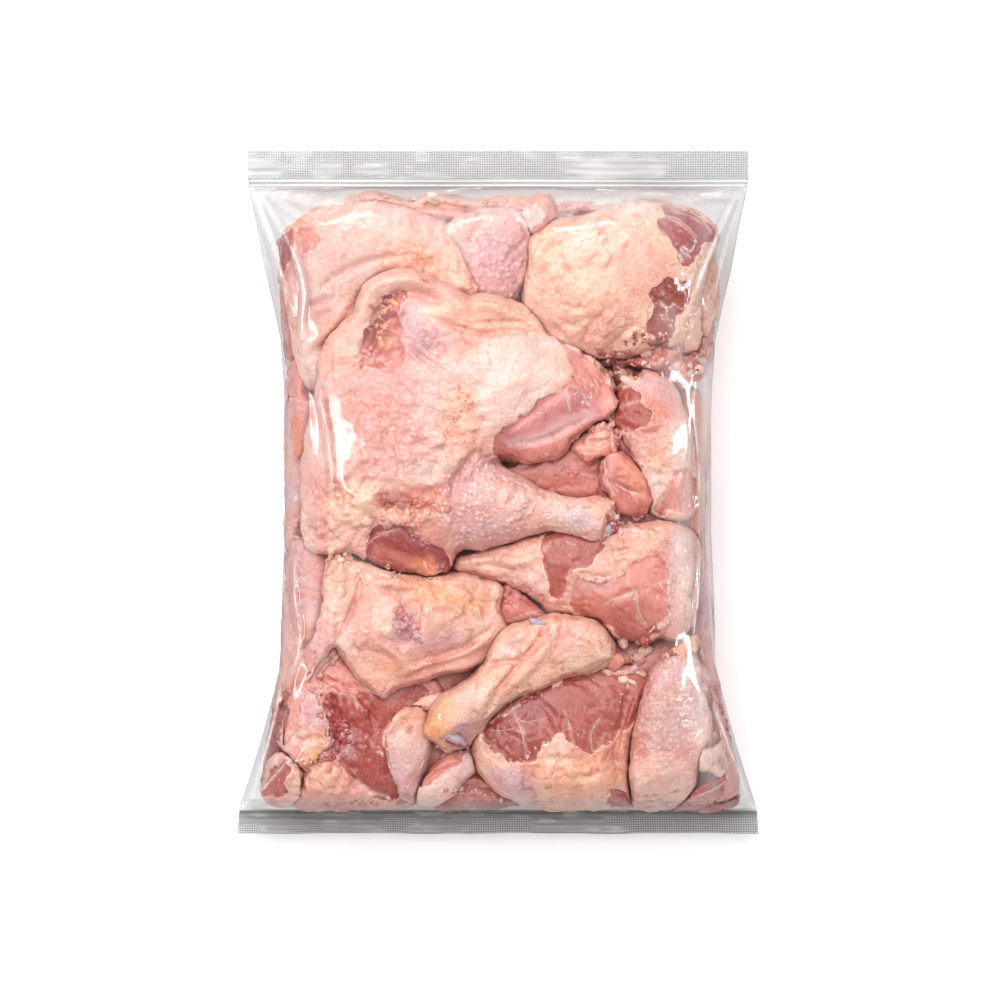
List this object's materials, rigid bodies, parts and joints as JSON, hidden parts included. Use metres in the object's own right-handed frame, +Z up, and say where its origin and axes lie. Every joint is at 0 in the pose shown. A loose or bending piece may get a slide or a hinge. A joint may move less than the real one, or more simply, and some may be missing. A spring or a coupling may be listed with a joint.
{
  "type": "sealed bag of raw chicken leg quarters",
  "caption": "Clear sealed film bag packed with raw skin-on chicken leg quarters, with a crimped heat seal at each end, lying on its back with the packed side up.",
  "frame": {"origin": "on the surface the bag lies on, under the middle of its outline", "axes": "+X across the bag, +Y along it towards the top seal, +Z up from the surface it lies on, which is out of the packed side that the picture shows"},
  "size_m": [0.2612, 0.3426, 0.086],
  "materials": {
    "film_over_chicken": "clear glossy film drawn tight over pale raw chicken",
    "clear_film": "thin clear glossy plastic film",
    "crimped_seal": "two films pressed into a fine waffle crimp, pale grey and glossy",
    "chicken_skin": "wet raw skin, pale peach with lilac and orange patches",
    "chicken_flesh": "wet raw flesh, salmon to deep red with white sinew"
  },
  "bodies": {
    "root": {"filled_bag": "film_over_chicken"}
  },
  "joints": []
}
